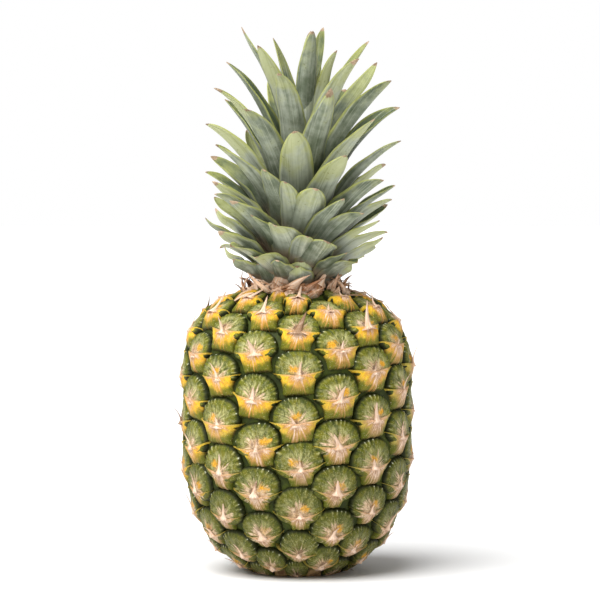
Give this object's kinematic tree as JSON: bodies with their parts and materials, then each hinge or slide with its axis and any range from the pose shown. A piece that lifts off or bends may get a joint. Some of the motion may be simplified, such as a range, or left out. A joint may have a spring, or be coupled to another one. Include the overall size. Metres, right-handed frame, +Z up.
{
  "type": "pineapple",
  "caption": "Whole ripe pineapple standing on its base: a barrel of spiral eyes with a short cut stalk and an upright crown of stiff leaves.",
  "frame": {"origin": "middle of the flat spot that the fruit stands on, on the cut face of its stalk", "axes": "+Z up through the crown; -Y is the front; +X to the right seen from the front"},
  "size_m": [0.1264, 0.1264, 0.2968],
  "materials": {
    "pineapple_skin": "firm waxy rind: green eyes with a grey bloom, yellow bracts and dry tan points",
    "cut_stalk": "dry cut face with coarse fibres",
    "crown_stem": "pale fibrous stem, hidden by the leaves",
    "crown_leaf": "stiff leaf, grey-green with a whitish bloom and fine lengthwise ribs"
  },
  "bodies": {
    "root": {"fruit_body": "pineapple_skin", "stalk_stub": "cut_stalk", "crown_stem": "crown_stem", "crown_leaf_01": "crown_leaf", "crown_leaf_02": "crown_leaf", "crown_leaf_03": "crown_leaf", "crown_leaf_04": "crown_leaf", "crown_leaf_05": "crown_leaf", "crown_leaf_06": "crown_leaf", "crown_leaf_07": "crown_leaf", "crown_leaf_08": "crown_leaf", "crown_leaf_09": "crown_leaf", "crown_leaf_10": "crown_leaf", "crown_leaf_11": "crown_leaf", "crown_leaf_12": "crown_leaf", "crown_leaf_13": "crown_leaf", "crown_leaf_14": "crown_leaf", "crown_leaf_15": "crown_leaf", "crown_leaf_16": "crown_leaf", "crown_leaf_17": "crown_leaf", "crown_leaf_18": "crown_leaf", "crown_leaf_19": "crown_leaf", "crown_leaf_20": "crown_leaf", "crown_leaf_21": "crown_leaf", "crown_leaf_22": "crown_leaf", "crown_leaf_23": "crown_leaf", "crown_leaf_24": "crown_leaf", "crown_leaf_25": "crown_leaf", "crown_leaf_26": "crown_leaf", "crown_leaf_27": "crown_leaf", "crown_leaf_28": "crown_leaf", "crown_leaf_29": "crown_leaf", "crown_leaf_30": "crown_leaf", "crown_leaf_31": "crown_leaf", "crown_leaf_32": "crown_leaf", "crown_leaf_33": "crown_leaf", "crown_leaf_34": "crown_leaf", "crown_leaf_35": "crown_leaf", "crown_leaf_36": "crown_leaf", "crown_leaf_37": "crown_leaf", "crown_leaf_38": "crown_leaf", "crown_leaf_39": "crown_leaf", "crown_leaf_40": "crown_leaf", "crown_leaf_41": "crown_leaf", "crown_leaf_42": "crown_leaf", "crown_leaf_43": "crown_leaf", "crown_leaf_44": "crown_leaf", "crown_leaf_45": "crown_leaf", "crown_leaf_46": "crown_leaf", "crown_leaf_47": "crown_leaf", "crown_leaf_48": "crown_leaf", "crown_leaf_49": "crown_leaf", "crown_leaf_50": "crown_leaf", "crown_leaf_51": "crown_leaf", "crown_leaf_52": "crown_leaf", "crown_leaf_53": "crown_leaf", "crown_leaf_54": "crown_leaf", "crown_leaf_55": "crown_leaf", "crown_leaf_56": "crown_leaf", "crown_leaf_57": "crown_leaf"}
  },
  "joints": []
}
